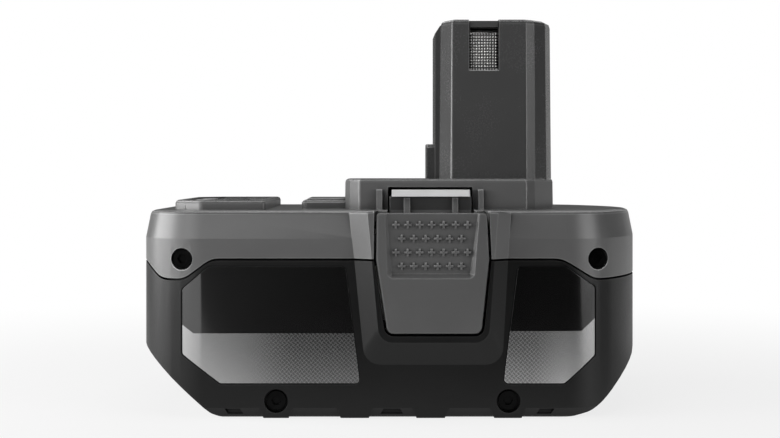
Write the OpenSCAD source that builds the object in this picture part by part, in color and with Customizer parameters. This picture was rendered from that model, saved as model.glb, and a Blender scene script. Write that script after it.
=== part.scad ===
// Slide-in battery pack for cordless hand tools.
// A black lower case and a grey top cover with a tall stem hold ten round cells.
// Two sprung side buttons swing on pins and draw in the steel hooks that hold the pack.
// X runs from the front (gauge end) to the rear (stem end), Z is up, the pack stands on Z = 0.

/* [Case] */
// Length of the case, front to rear
body_l = 120; // [120:1:124]
// Width between the two side walls
body_w = 76; // [76:0.5:79]
// Height of the flat top of the cover
cover_top = 47.7; // [47.7:0.1:49]
// Plan radius of the front corners and of the rear shoulders
corner_r = 15; // [14:0.5:16]
// Plan radius of the bowed rear end
bow_r = 57; // [56:1:62]
// Wall thickness of the lower case
case_wall = 2.0; // [1.9:0.1:2.1]
// Wall thickness of the top cover
cover_wall = 2.2; // [2.1:0.1:2.3]
// Height of the parting line at mid-length
part_z = 36.6; // [36.2:0.1:36.8]

/* [Stem] */
// Height of the top of the stem
stem_top = 94.3; // [90:0.1:100]
// Width of the stem
stem_w = 31; // [31:0.5:34]
// Height of the top of the collar round the stem
collar_top = 55.05; // [54.9:0.05:57]
// Width of the collar
collar_w = 44; // [43:0.5:45]
// Width of each power contact notch
notch_w = 7.3; // [7:0.1:9]
// Height of each power contact notch
notch_h = 12.5; // [11:0.1:13]

/* [Latch] */
// Lengthwise position of the latches
latch_x = 8.0; // [7.6:0.1:8.4]
// How far the latch housings stand out from the side walls
bulge_d = 3.0; // [2.9:0.1:3.2]
// Gap round each latch button
button_gap = 0.5; // [0.4:0.1:0.7]
// Radius of the latch pins
pin_r = 1.0; // [0.9:0.05:1.1]
// Radial running clearance of the latch buttons on their pins
pin_clear = 0.05; // [0.03:0.01:0.08]
// Distance between neighbouring grip bumps in a row
bump_pitch = 2.74; // [2.5:0.02:2.8]
// Number of turns in each latch spring
spring_turns = 3.25; // [2.25:1:4.25]

/* [Cells] */
// Room between the end of a cell and the outside of the case wall
cell_end_room = 5.5; // [5.4:0.1:5.9]
// Length of the case that the row of cells leaves free
cell_row_room = 29; // [28.5:0.5:31]
// Height of the case that the two layers of cells leave free
cell_stack_room = 11.3; // [11.3:0.1:12]
// Gap between neighbouring cells
cell_gap = 0.2; // [0.1:0.05:0.25]

/* [Gauge] */
// Travel of the gauge button
gauge_travel = 0.6; // [0.3:0.1:0.6]
// Number of lights in the charge gauge
gauge_lights = 4; // [3:1:5]

/* [Fits] */
// Height of the groove at the parting line
part_gap = 0.3; // [0.2:0.05:0.4]
// Height of the cover's lower edge above the parting line
cover_rise = 0.2; // [0.1:0.05:0.3]
// Thickness of the labels
label_t = 0.25; // [0.2:0.05:0.3]
// General gap between seated pieces
seat_gap = 0.1; // [0.05:0.01:0.15]

/* [Hidden] */
xl = -body_l / 2;
xr = body_l / 2;
yw = body_w / 2;
yb = yw + bulge_d;
lx = latch_x;
big = 200;

// Rear end in plan: a wide bow that runs into the shoulder arcs
bow_cx = xr - bow_r;
arc_y = yw - corner_r;
bow_a = asin(arc_y / (bow_r - corner_r));
shoulder_x = bow_cx + (bow_r - corner_r) * cos(bow_a);
front_x = xl + corner_r;

// Cover heights
crease_z = cover_top - 6.4;
lug_z = part_z - 4.7;
roof_z = cover_top - 2.4;
pad_top = cover_top + 2.3;
pad_skin = 1.3;
pad_well = 0.5;
step_top = cover_top + 2.0;

// Collar and stem
cy = collar_w / 2;
collar_wall = 2.0;
collar_roof = collar_top - 2.2;
sy = stem_w / 2;
stem_wall = 2.3;
stem_roof = stem_top - 2.2;
stem_x = lx + 13.7;
stem_front = lx + 2.95;
rail_x = stem_front - 1.05;
rail_y = 8;
stem_rear = lx + 31.95;
notch_z = stem_top - notch_h;
block_z = notch_z - 4;

// Latch lever
plate_t = 2.4;
pin_y = yb - 4.4;
pin_z = 21.6;
knuckle_r = 2.0;
button_bottom = 19.6;
button_top = cover_top - 0.4;
shelf_z = cover_top - 3.3;
shelf_t = 2.0;
hook_z = cover_top + 3.1;
arm_l = lx - 9.6;
arm_r = lx + 10;
spring_z = 40.6;
spring_d = 4.6;
wire_d = 0.6;

// Cell stack
cell_d = min((body_l - cell_row_room) / 5, (cover_top - cell_stack_room) / 2);
cell_len = body_w - 2 * cell_end_room;
cell_r = cell_d / 2;
pitch = cell_d + cell_gap;
row_x = -1.1;
floor_t = 2.0;
row_z = floor_t + 0.9 + cell_r;
cell_y = cell_len / 2;
holder_y0 = cell_y + 0.3;
holder_y1 = cell_y + 1.5;
strip_t = 0.2;
board_z = row_z + pitch + cell_r + 0.5;
board_t = 1.6;
board_top = board_z + board_t;

// Screws: the cover screws sit in the lugs, the case screws in the valleys between cells
cup_r = 3.4;
lug_screw_x = [xl + 10.2, xr - 13.2];
lug_hole_r = 2.55;
lug_depth = 3.3;
cup_floor = 1.6;
valley = 1.4565 * pitch;
base_screw_x = [row_x - valley, row_x + valley];
base_screw_z = 3.9;
boss_r = norm([valley - pitch, row_z - base_screw_z]) - cell_r - 0.35;
base_hole_r = 2.75;
base_depth = 2.4;
shank_r = 1.4;
shank_hole_r = 1.45;

// Gauge on the front of the cover
gauge_light_x = xl + 11.9;
gauge_light_pitch = 5.4;
gauge_key_x = xl + 19.5;

cell_names = [for (i = [1:10]) str("cell_", i)];
strip_names = concat(
    [for (i = [1:3]) str("strip_near_", i)],
    [for (i = [1:3]) str("strip_far_", i)]);

// Points and outlines

function arc(c, r, a0, a1, n) =
    [for (i = [0:n]) let (a = a0 + (a1 - a0) * i / n) c + r * [cos(a), sin(a)]];

// Outline of the case in plan, drawn in by d on every side
function plan(d) = concat(
    arc([front_x, -arc_y], corner_r - d, 180, 270, 9),
    arc([shoulder_x, -arc_y], corner_r - d, 270, 360 - bow_a, 6),
    [for (i = [1:13]) let (a = bow_a * (i / 7 - 1))
        [bow_cx, 0] + (bow_r - d) * [cos(a), sin(a)]],
    arc([shoulder_x, arc_y], corner_r - d, bow_a, 90, 6),
    arc([front_x, arc_y], corner_r - d, 90, 180, 9));

function unit(v) = v / norm(v);
function left_of(v) = [-v[1], v[0]];

// Convex outline with rounded corners, drawn in by d
function rounded(p, r, d = 0, n = 4) = [
    for (i = [0:len(p) - 1])
        let (e1 = unit(p[i] - p[(i + len(p) - 1) % len(p)]),
             e2 = unit(p[(i + 1) % len(p)] - p[i]),
             n1 = left_of(e1),
             n2 = left_of(e2),
             v = p[i] + (n1 + n2) * d / (1 + n1 * n2),
             rr = max(r[i] - d, 0.05),
             turn = acos(min(1, e1 * e2)),
             c = v - e1 * rr * tan(turn / 2) + n1 * rr,
             a0 = atan2(-n1[1], -n1[0]))
            for (k = [0:n]) c + rr * [cos(a0 + turn * k / n), sin(a0 + turn * k / n)]];

function at_z(p, z) = [for (q = p) [q[0], q[1], z]];
function at_y(p, y) = [for (q = p) [q[0], y, q[1]]];

// Side wall of the case at a place along its length, near side
function wall_y(x) = x < front_x
    ? -arc_y - sqrt(corner_r * corner_r - (x - front_x) * (x - front_x))
    : x > shoulder_x
        ? -arc_y - sqrt(corner_r * corner_r - (x - shoulder_x) * (x - shoulder_x))
        : -yw;

// Solid through a stack of outlines with the same number of points
module loft(rings) {
    n = len(rings[0]);
    m = len(rings);
    polyhedron(
        points = [for (r = rings) each r],
        faces = concat(
            [[for (i = [0:n - 1]) i]],
            [[for (i = [0:n - 1]) m * n - 1 - i]],
            [for (j = [0:m - 2], i = [0:n - 1])
                [j * n + i, (j + 1) * n + i, j * n + (i + 1) % n]],
            [for (j = [0:m - 2], i = [0:n - 1])
                [j * n + (i + 1) % n, (j + 1) * n + i, (j + 1) * n + (i + 1) % n]]));
}

// Prism of a side-view outline between two depths
module y_prism(p, y0, y1) {
    translate([0, y1, 0])
        rotate([90, 0, 0])
            linear_extrude(height = y1 - y0)
                polygon(p);
}

// Prism of an end-view outline between two lengths
module x_prism(p, x0, x1) {
    translate([x0, 0, 0])
        rotate([90, 0, 90])
            linear_extrude(height = x1 - x0)
                polygon(p);
}

module box(a, b) {
    translate(a)
        cube(b - a);
}

module y_rod(x, z, r, y0, y1) {
    translate([x, y1, z])
        rotate([90, 0, 0])
            cylinder(r = r, h = y1 - y0, $fn = 48);
}

module x_rod(y, z, r, x0, x1) {
    translate([x0, y, z])
        rotate([0, 90, 0])
            cylinder(r = r, h = x1 - x0, $fn = 48);
}

module both_sides() {
    children();
    mirror([0, 1, 0])
        children();
}

// Open line with its corners drawn as short curves that start t before the corner
function soft_line(p, t) = concat(
    [p[0]],
    [for (i = [1:len(p) - 2])
        let (a = p[i - 1] - p[i],
             b = p[i + 1] - p[i],
             u = p[i] + unit(a) * min(t, norm(a) * 0.45),
             v = p[i] + unit(b) * min(t, norm(b) * 0.45))
            each [for (k = [0:4]) let (s = k / 4)
                u * (1 - s) * (1 - s) + p[i] * 2 * s * (1 - s) + v * s * s]],
    [p[len(p) - 1]]);

// Parting line between case and cover, from the front to the rear
part_points = soft_line(
    [[xl - 2, part_z - 0.3], [xl + 0.5, part_z - 0.6], [xl + 5.1, lug_z], [xl + 10.7, lug_z],
     [xl + 17.1, part_z], [xr - 21.9, part_z], [xr - 14.2, lug_z], [xr + 2, lug_z]], 1.8);

function part_line(dz) = [for (q = part_points) q + [0, dz]];

module above_part(dz) {
    y_prism(concat(part_line(dz), [[xr + 2, big], [xl - 2, big]]), -big, big);
}

module below_part(dz) {
    y_prism(concat([[xl - 2, -big], [xr + 2, -big]],
        [for (i = [len(part_points) - 1:-1:0]) part_line(dz)[i]]), -big, big);
}

// Outlines of the latch button and its housing in side view
function button_line(d) = rounded(
    [[lx - 10.3, button_bottom], [lx + 11.3, button_bottom], [lx + 13.1, part_z],
     [lx + 12.6, button_top], [lx - 12.8, button_top], [lx - 12.9, part_z]],
    [1.7, 1.7, 6, 0.8, 0.8, 6], d, 5);

bulge_foot = [[lx - 15.6, 12.1], [lx + 16.4, 12.1], [lx + 18.3, cover_top - 0.3],
              [lx - 19.1, cover_top - 0.3]];
bulge_face = [[lx - 12.2, 17.6], [lx + 13.0, 17.6], [lx + 15.2, cover_top - 0.3],
              [lx - 14.9, cover_top - 0.3]];

module bulge() {
    loft([at_y(rounded(bulge_foot, [4, 4, 0.4, 0.4], 0, 5), -yw + 5),
          at_y(rounded(bulge_foot, [4, 4, 0.4, 0.4], 0, 5), -yw + 0.1),
          at_y(rounded(bulge_face, [3.4, 3.4, 0.4, 0.4], -0.4, 5), -yb + 0.4),
          at_y(rounded(bulge_face, [3.4, 3.4, 0.4, 0.4], 0.1, 5), -yb)]);
}

// Room for the latch button in the wall, and for its arm in the top of the cover
module button_opening() {
    y_prism(button_line(-button_gap), -yb - 1, -yw + 5.5);
}

module arm_opening() {
    box([lx - 12.8 - button_gap, -yb - 1, shelf_z - 1],
        [lx + 12.6 + button_gap, -yw + 3, cover_top + 1]);
    box([arm_l - 0.6, -yw - 1, shelf_z - 4], [arm_r + 0.6, -cy - 0.5, cover_top + 1]);
    box([arm_l - 0.4, -cy - 1, shelf_z - 4], [arm_r + 0.4, -cy + 3.5, hook_z + 2.3]);
}

// Top cover

collar_line = [[lx - 17, -cy], [lx + 23.5, -cy], [lx + 25.8, -cy + 2.7],
               [stem_rear - 0.1, -5], [stem_rear + 0.4, 0], [stem_rear - 0.1, 5],
               [lx + 25.8, cy - 2.7], [lx + 23.5, cy], [lx - 17, cy], [lx - 19.6, cy - 4],
               [lx - 20.6, cy - 9], [lx - 20.6, -cy + 9], [lx - 19.6, -cy + 4]];
collar_round = [1, 1, 1.2, 4, 20, 4, 1.2, 1, 1, 3, 4, 4, 3];
stem_line = [[lx + 5.6, -sy], [lx + 24.1, -sy], [lx + 26.5, -sy + 1.7], [lx + 29.5, -sy + 5.4],
             [stem_rear - 0.5, -4], [stem_rear, 0], [stem_rear - 0.5, 4], [lx + 29.5, sy - 5.4],
             [lx + 26.5, sy - 1.7], [lx + 24.1, sy], [lx + 5.6, sy], [stem_front, sy - 5.5],
             [stem_front, -sy + 5.5]];
stem_round = [0.8, 0.8, 0.8, 4, 3, 16, 3, 4, 0.8, 0.8, 0.8, 1, 1];
pad_line = [[xl + 13.3, -28], [xl + 28.9, -28], [xl + 28.9, 28], [xl + 13.3, 28],
            [xl + 6.5, 21], [xl + 6.5, -21]];
pad_round = [2, 1, 1, 2, 2, 2];
step_line = [[lx - 31.3, -13.5], [lx - 19, -13.5], [lx - 19, 13.5], [lx - 31.3, 13.5]];

module cover_shell() {
    intersection() {
        loft([for (q = [[lug_z - 3, 0], [crease_z, 0], [cover_top - 0.9, 1.1],
                        [cover_top - 0.3, 1.45], [cover_top, 2.2]])
            at_z(plan(q[1]), q[0])]);
        above_part(cover_rise);
    }
}

module collar_outside() {
    loft([for (q = [[roof_z, 0], [collar_top - 0.8, 0.12], [collar_top - 0.25, 0.3],
                    [collar_top, 0.75]])
        at_z(rounded(collar_line, collar_round, q[1]), q[0])]);
}

module stem_outside() {
    loft([for (q = [[collar_top - 1, 0], [stem_top - 1.2, 0.35], [stem_top - 0.35, 0.6],
                    [stem_top, 1.3]])
        at_z(rounded(stem_line, stem_round, q[1]), q[0])]);
}

module cover_top_pads() {
    loft([for (q = [[roof_z, 0], [pad_top - 0.8, 0], [pad_top - 0.25, 0.25], [pad_top, 0.8]])
        at_z(rounded(pad_line, pad_round, q[1]), q[0])]);
    loft([for (q = [[roof_z, 0], [step_top - 0.5, 0], [step_top, 0.5]])
        at_z(rounded(step_line, [1.5, 0.3, 0.3, 1.5], q[1]), q[0])]);
    loft([for (q = [[roof_z, 0], [step_top + 0.3, 0], [step_top + 0.5, 0.2]])
        at_z(rounded(step_line, [1, 0.3, 0.3, 1], 1.3 + q[1]), q[0])]);
    // Key at the front foot of the stem
    x_prism([[-6, collar_top - 1], [6, collar_top - 1], [6, collar_top + 7.9],
             [5.2, collar_top + 8.7], [-5.2, collar_top + 8.7], [-6, collar_top + 7.9]],
        stem_front - 3.05, stem_front + 0.5);
    // Rail up the front of the stem
    y_prism([[stem_front + 0.6, collar_top - 1], [stem_front + 0.6, stem_top - 0.9],
             [stem_front + 0.2, stem_top - 0.9], [rail_x, stem_top - 2.8],
             [rail_x, collar_top - 1]], -rail_y, rail_y);
}

module fin(x0, x1) {
    x_prism([[-cy + 0.5, roof_z], [-cy + 0.5, hook_z + 1.7], [-cy - 1, hook_z + 1.7],
             [-cy - 2.2, cover_top - 0.4], [-cy - 2.2, roof_z]], x0, x1);
}

module cover_cavity() {
    translate([0, 0, lug_z - 4])
        linear_extrude(height = crease_z - lug_z + 4.01)
            polygon(plan(cover_wall));
    translate([0, 0, crease_z])
        linear_extrude(height = roof_z - crease_z)
            polygon(plan(cover_wall + 1.2));
    translate([0, 0, roof_z - 1])
        linear_extrude(height = collar_roof - roof_z + 1)
            polygon(rounded(collar_line, collar_round, collar_wall));
    translate([0, 0, collar_roof - 1])
        linear_extrude(height = stem_roof - collar_roof + 1)
            polygon(rounded(stem_line, stem_round, stem_wall));
    box([xl + 9.3, -24, roof_z - 1], [xl + 24, 24, pad_top - pad_skin]);
}

// Notches and slots that show the contacts
module contact_notch() {
    box([stem_x - notch_w / 2, -sy - 1, notch_z], [stem_x + notch_w / 2, -sy + 4.3, stem_top + 1]);
}

module sense_slot() {
    box([rail_x - 0.5, -5.2, notch_z], [stem_front + stem_wall + 0.3, -3, stem_top - 4]);
}

function lug_seat(x) = wall_y(x) + lug_depth;

module lug_cup(x) {
    intersection() {
        y_rod(x, part_z, cup_r, -yw, lug_seat(x) + cup_floor);
        translate([0, 0, lug_z - 3])
            linear_extrude(height = 20)
                polygon(plan(0.6));
    }
}

module lug_hole(x) {
    y_rod(x, part_z, lug_hole_r, -yw - 1, lug_seat(x));
    y_rod(x, part_z, shank_hole_r, -yw - 1, lug_seat(x) + cup_floor + 1);
}

module gauge_holes() {
    translate([0, 0, pad_top - pad_well])
        linear_extrude(height = 2)
            polygon(rounded(pad_line, pad_round, 1.5));
    box([gauge_light_x - 1.7, -gauge_light_pitch * gauge_lights / 2 - 0.3, pad_top - 0.7],
        [gauge_light_x + 1.7, gauge_light_pitch * gauge_lights / 2 + 0.3, pad_top + 1]);
    for (i = [0:gauge_lights - 1])
        translate([gauge_light_x, gauge_light_y(i), roof_z - 1])
            cylinder(r = 1.4, h = 6, $fn = 32);
    box([gauge_key_x - 3.3, -5.3, pad_top - 2], [gauge_key_x + 3.3, 5.3, pad_top + 1]);
}

function gauge_light_y(i) = (i - (gauge_lights - 1) / 2) * gauge_light_pitch;

module top_cover() {
    color("dimgray")
        difference() {
            union() {
                difference() {
                    union() {
                        cover_shell();
                        collar_outside();
                        stem_outside();
                        cover_top_pads();
                        both_sides()
                            intersection() {
                                bulge();
                                above_part(cover_rise);
                            }
                        both_sides() {
                            fin(arm_l - 3.2, arm_l - 1.8);
                            fin(arm_r + 1.7, arm_r + 3);
                        }
                    }
                    cover_cavity();
                }
                both_sides()
                    for (x = lug_screw_x)
                        lug_cup(x);
                // Rib along the middle of the collar
                box([lx - 19.5, -0.8, board_top + 1.7], [stem_rear - 2, 0.8, collar_roof + 0.2]);
            }
            both_sides() {
                button_opening();
                arm_opening();
                box([lx - 14.9, -yb + plate_t, spring_z - 3.2],
                    [lx + 15.1, -yw + 6, spring_z + 3]);
                contact_notch();
                sense_slot();
                for (x = lug_screw_x)
                    lug_hole(x);
            }
            gauge_holes();
        }
}

// Lower case

case_line = [[xl + 17, 0.9], [xl + 19.4, 0], [xr - 20, 0], [xr - 15.2, 1.2], [xr - 12, 3.4],
             [xr - 1.9, 12.1], [xr + 0.4, 15], [xr + 2, 80], [xl - 2, 80],
             [xl - 0.4, 16.6], [xl + 8, 8.8]];
case_round = [3, 3, 9, 6, 6, 4, 3, 0.1, 0.1, 0.5, 40];
incline_wall = 1.5;

module case_shell() {
    intersection() {
        loft([for (q = [[0, 1.9], [0.25, 1.3], [2.3, 0], [part_z + 1, 0]])
            at_z(plan(q[1]), q[0])]);
        y_prism(rounded(case_line, case_round, 0, 5), -big, big);
        below_part(-part_gap);
    }
}

module case_cavity() {
    intersection() {
        loft([for (q = [[floor_t, case_wall + 2], [floor_t + 2, case_wall], [60, case_wall]])
            at_z(plan(q[1]), q[0])]);
        y_prism(rounded(case_line, case_round, incline_wall, 5), -big, big);
    }
}

// Tongue of the case that stands up behind the cover's wall
module case_lip() {
    intersection() {
        translate([0, 0, lug_z - 8])
            linear_extrude(height = 20)
                difference() {
                    polygon(plan(1));
                    polygon(plan(cover_wall + 1.15));
                }
        below_part(-part_gap);
        above_part(-4);
    }
    intersection() {
        translate([0, 0, lug_z - 8])
            linear_extrude(height = 20)
                difference() {
                    polygon(plan(cover_wall + 0.15));
                    polygon(plan(cover_wall + 1.15));
                }
        below_part(1.4);
        above_part(-3);
    }
}

// Post that takes a cover screw, standing in a corner of the case
module lug_post(x, x0, x1) {
    y0 = lug_seat(x) + cup_floor + seat_gap;
    intersection() {
        union() {
            y_rod(x, part_z, cup_r - 0.1, y0, y0 + 9);
            box([x0, y0, lug_z - 12], [x1, y0 + 9, part_z]);
        }
        union() {
            translate([0, 0, lug_z - 13])
                linear_extrude(height = 13 - part_gap)
                    polygon(plan(1));
            translate([0, 0, lug_z - 1])
                linear_extrude(height = 12)
                    polygon(plan(cover_wall + 0.4));
        }
    }
}

module base_cup(x) {
    y_rod(x, base_screw_z, cup_r, -yw + 1.2, -holder_y1 - strip_t - seat_gap);
}

module base_hole(x) {
    y_rod(x, base_screw_z, base_hole_r, -yw - 1, -yw + base_depth);
    y_rod(x, base_screw_z, shank_hole_r, -yw - 1, -holder_y1 + 1);
}

lugs_x = [[-30.8, -22.8], [-13, -4.3], [4.5, 13.2], [22.4, 30.9]];
// Band slots: ends at the foot, then how far each end leans at the top
slots_x = [[-38, -34.4, -0.7, -0.7], [-2.7, 2.5, 0.7, -0.7], [33.3, 36.7, 0.7, 0.7]];

module foot_lug(x0, x1) {
    translate([row_x, 0, 0])
        y_prism([[x0 + 1.1, 0], [x1 - 1.1, 0], [x1, 2.5], [x0, 2.5]], -yw, -yw + 4);
}

module band_slot(x0, x1, lean0, lean1) {
    translate([row_x, 0, 0])
        y_prism([[x0, 0.85], [x1, 0.85], [x1 + lean1, 2.15], [x0 + lean0, 2.15]],
            -yw - 1, -yw + 1.6);
}

// Ears that hold the ends of a latch pin
module pin_ears() {
    for (q = [[lx - 15.6, lx - 9], [lx + 9.5, lx + 16]])
        box([q[0], -yw + 1, pin_z - 2.6], [q[1], -pin_y + 2.05, pin_z + 2.6]);
}

module label_recess(p) {
    intersection() {
        linear_extrude(height = part_z + 2)
            difference() {
                polygon(plan(-3));
                polygon(plan(label_t + 0.05));
            }
        y_prism(rounded(p, [for (q = p) 1], -0.3, 3), -big, 0);
    }
}

module bottom_case() {
    color([0.13, 0.13, 0.13])
        difference() {
            union() {
                difference() {
                    union() {
                        case_shell();
                        both_sides() {
                            intersection() {
                                bulge();
                                below_part(-part_gap);
                            }
                            for (q = lugs_x)
                                foot_lug(q[0], q[1]);
                        }
                    }
                    case_cavity();
                }
                difference() {
                    case_lip();
                    both_sides() {
                        box([lx - 18, -yb, lug_z - 8], [lx + 18.5, -yw + 6, part_z + 3]);
                        for (x = lug_screw_x)
                            y_rod(x, part_z, cup_r + 0.4, -yw - 1, -yw + 14);
                    }
                }
                both_sides() {
                    pin_ears();
                    lug_post(lug_screw_x[0], xl + 6.9, xl + 12.5);
                    lug_post(lug_screw_x[1], xr - 14.9, xr - 8);
                    for (x = base_screw_x)
                        base_cup(x);
                }
            }
            both_sides() {
                button_opening();
                x_rod(-pin_y, pin_z, pin_r + 0.02, lx - 15, lx + 15.4);
                for (x = lug_screw_x)
                    y_rod(x, part_z, shank_hole_r, -yw, lug_seat(x) + 10);
                for (x = base_screw_x)
                    base_hole(x);
                for (q = slots_x)
                    band_slot(q[0], q[1], q[2], q[3]);
                label_recess(front_label);
                label_recess(rear_label);
            }
        }
}

// Labels: thin sheets let into the side walls and wrapped round the corners

front_label = [[xl + 19.2, 8], [lx - 16.6, 8], [lx - 19.9, part_z - 1.7], [xl + 16.5, part_z - 1.7],
               [xl + 10.4, part_z - 7], [xl + 10.4, 14.7]];
rear_label = [[lx + 16.6, 8], [xr - 21.4, 8], [xr - 14.1, 14.3], [xr - 14.1, part_z - 6.4],
              [xr - 15.4, part_z - 5.7], [xr - 21.1, part_z - 1.7], [lx + 19.9, part_z - 1.7]];

module label(p) {
    color([0.3, 0.3, 0.3])
        intersection() {
            linear_extrude(height = part_z)
                difference() {
                    polygon(plan(0.05));
                    polygon(plan(label_t + 0.05));
                }
            y_prism(rounded(p, [for (q = p) 0.9], 0, 3), -big, 0);
        }
}

// Screws, each a round head with a six-sided socket on a plain shank

module screw(x, z, y_seat, head_r, head_h, length) {
    difference() {
        union() {
            y_rod(x, z, head_r, y_seat - head_h, y_seat);
            y_rod(x, z, shank_r, y_seat - 0.1, y_seat + length);
        }
        translate([x, y_seat - head_h + 0.8, z])
            rotate([90, 0, 0])
                cylinder(r = 1.15, h = 2, $fn = 6);
    }
}

module cover_screws() {
    color("silver")
        both_sides()
            for (x = lug_screw_x)
                screw(x, part_z, lug_seat(x), 2.15, 1.6, 9);
}

module case_screws() {
    color("silver")
        both_sides()
            for (x = base_screw_x)
                screw(x, base_screw_z, -yw + base_depth, 2.2, 1.2, 10);
}

// Latch: plastic button and arm, steel hook, pin and spring

grip_line = [[lx - 10.1, part_z - 4.1], [lx + 9.5, part_z - 4.1], [lx + 10.8, cover_top + 1],
             [lx - 10.7, cover_top + 1]];
grip_foot = 1.3;
grip_slope = 0.061;
bump_h = 0.5;
function grip_y(z) = -yb + grip_foot - (z - part_z + 4.1) * grip_slope;
grip_rows = 4;
row_step = 3.17;

module grip_bump(x, z) {
    y = grip_y(z);
    box([x - 0.85, y - bump_h, z - 0.24], [x + 0.85, y + 0.3, z + 0.24]);
    box([x - 0.24, y - bump_h, z - 0.85], [x + 0.24, y + 0.3, z + 0.85]);
}

module latch_button() {
    y_back = -yb + plate_t;
    color([0.33, 0.33, 0.33])
        difference() {
            union() {
                difference() {
                    loft([at_y(button_line(0), y_back),
                          at_y(button_line(0), -yb + 0.5),
                          at_y(button_line(0.15), -yb + 0.15),
                          at_y(button_line(0.5), -yb)]);
                    intersection() {
                        loft([at_y(rounded(grip_line, [1, 1, 0.5, 0.5], 0.9), -yb + grip_foot),
                              at_y(rounded(grip_line, [1, 1, 0.5, 0.5], -0.4), -yb - 0.3)]);
                        x_prism([[-yb - 1, part_z - 9], [grip_y(part_z - 9), part_z - 9],
                                 [grip_y(cover_top + 2), cover_top + 2], [-yb - 1, cover_top + 2]],
                            lx - 15, lx + 15);
                    }
                }
                for (r = [0:grip_rows - 1]) {
                    count = 7 - r % 2;
                    for (i = [0:count - 1])
                        grip_bump(lx - 0.1 + (i - (count - 1) / 2) * bump_pitch,
                            button_top - 2.7 - r * row_step);
                }
                // Arm over the cells to the collar, with its upright and two gussets
                box([arm_l, y_back - 0.2, shelf_z], [arm_r, -cy - 0.6, shelf_z + shelf_t]);
                box([arm_l, -cy - 2.2, shelf_z], [arm_r, -cy - 0.6, hook_z]);
                for (q = [[lx - 6.2, lx - 4.7], [lx + 5.4, lx + 6.8]])
                    x_prism([[-cy - 2.1, shelf_z + 1], [-cy - 2.1, hook_z - 0.2],
                             [-cy - 2.7, hook_z - 0.2], [-cy - 4.2, shelf_z + shelf_t],
                             [-cy - 4.2, shelf_z + 1]], q[0], q[1]);
                // Stop bars behind the edges of the housing
                for (q = [[lx - 14.1, lx - 8], [lx + 8, lx + 14.3]])
                    box([q[0], y_back + 0.3, spring_z - 2], [q[1], y_back + 1.6, spring_z + 2]);
                for (q = [[lx - 12, lx - 8], [lx + 8, lx + 12]])
                    box([q[0], y_back - 0.2, spring_z - 2], [q[1], y_back + 1.6, spring_z + 2]);
                // Knuckles on the pin
                for (q = [[lx - 8, lx - 4], [lx + 4.4, lx + 8.4]]) {
                    x_rod(-pin_y, pin_z, knuckle_r, q[0], q[1]);
                    box([q[0], y_back - 0.2, pin_z - 1.7], [q[1], -pin_y, pin_z + knuckle_r]);
                }
            }
            x_rod(-pin_y, pin_z, pin_r + pin_clear, lx - 20, lx + 20);
        }
}

module latch_hook() {
    color("silver")
        x_prism([[-cy - 3, hook_z], [-cy - 0.6, hook_z], [-cy - 0.6, shelf_z + 1],
                 [-cy + 0.4, shelf_z + 1], [-cy + 0.4, hook_z + 1.7], [-cy - 1.4, hook_z + 1.7]],
            arm_l + 0.5, arm_r - 0.3);
}

module latch_pin() {
    color("silver")
        x_rod(-pin_y, pin_z, pin_r, lx - 14.8, lx + 15.2);
}

// Ring of a round wire, square to the helix, at turn t
function coil_ring(t, y, r, lead) =
    let (a = 360 * t,
         out = [cos(a), 0, sin(a)],
         along = unit([-r * sin(a), lead / 360 * 180 / PI, r * cos(a)]),
         up = cross(along, out))
        [for (k = [0:5]) [0, y, 0] + out * r
            + wire_d / 2 * (cos(-60 * k) * out + sin(-60 * k) * up)];

module latch_spring() {
    y0 = -yb + plate_t + wire_d / 2 + 0.05;
    y1 = -holder_y1 - wire_d / 2 - 0.05;
    steps = round(spring_turns * 12);
    lead = (y1 - y0) / spring_turns;
    r = (spring_d - wire_d) / 2;
    color("silver")
        translate([lx + 0.1, 0, spring_z])
            loft([for (i = [0:steps])
                coil_ring(spring_turns * i / steps, y0 + (y1 - y0) * i / steps, r, lead)]);
}

// Terminal block and contacts in the stem

module stem_core(d, z0, z1) {
    translate([0, 0, z0])
        linear_extrude(height = z1 - z0)
            polygon(rounded(stem_line, stem_round, stem_wall + d));
}

contact_y = sy - stem_wall - 0.2;
contact_t = 0.6;
bar_z = stem_top - 1.9;

module terminal_block() {
    color([0.16, 0.16, 0.16])
        difference() {
            union() {
                stem_core(0.2, block_z, stem_roof - seat_gap);
                both_sides() {
                    box([stem_x - notch_w / 2 + 0.15, -sy + 0.7, bar_z],
                        [stem_x + notch_w / 2 - 0.15, -sy + 4.1, stem_top - 0.35]);
                    box([stem_x - notch_w / 2 + 0.15, -contact_y + contact_t + 0.1, stem_roof - 2],
                        [stem_x + notch_w / 2 - 0.15, -sy + 4.1, bar_z + 0.5]);
                }
            }
            both_sides() {
                box([stem_x - notch_w / 2 - 0.1, -sy - 1, block_z - 1],
                    [stem_x + notch_w / 2 + 0.1, -contact_y + contact_t, bar_z]);
                box([stem_front, -5.2, block_z - 1],
                    [stem_front + stem_wall + 0.8, -3, stem_top - 3.5]);
            }
            translate([stem_x + 2, 0, block_z - 1])
                cylinder(r = 7, h = 8, $fn = 48);
        }
}

knurl_cols = 9;
knurl_rows = 12;

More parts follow.
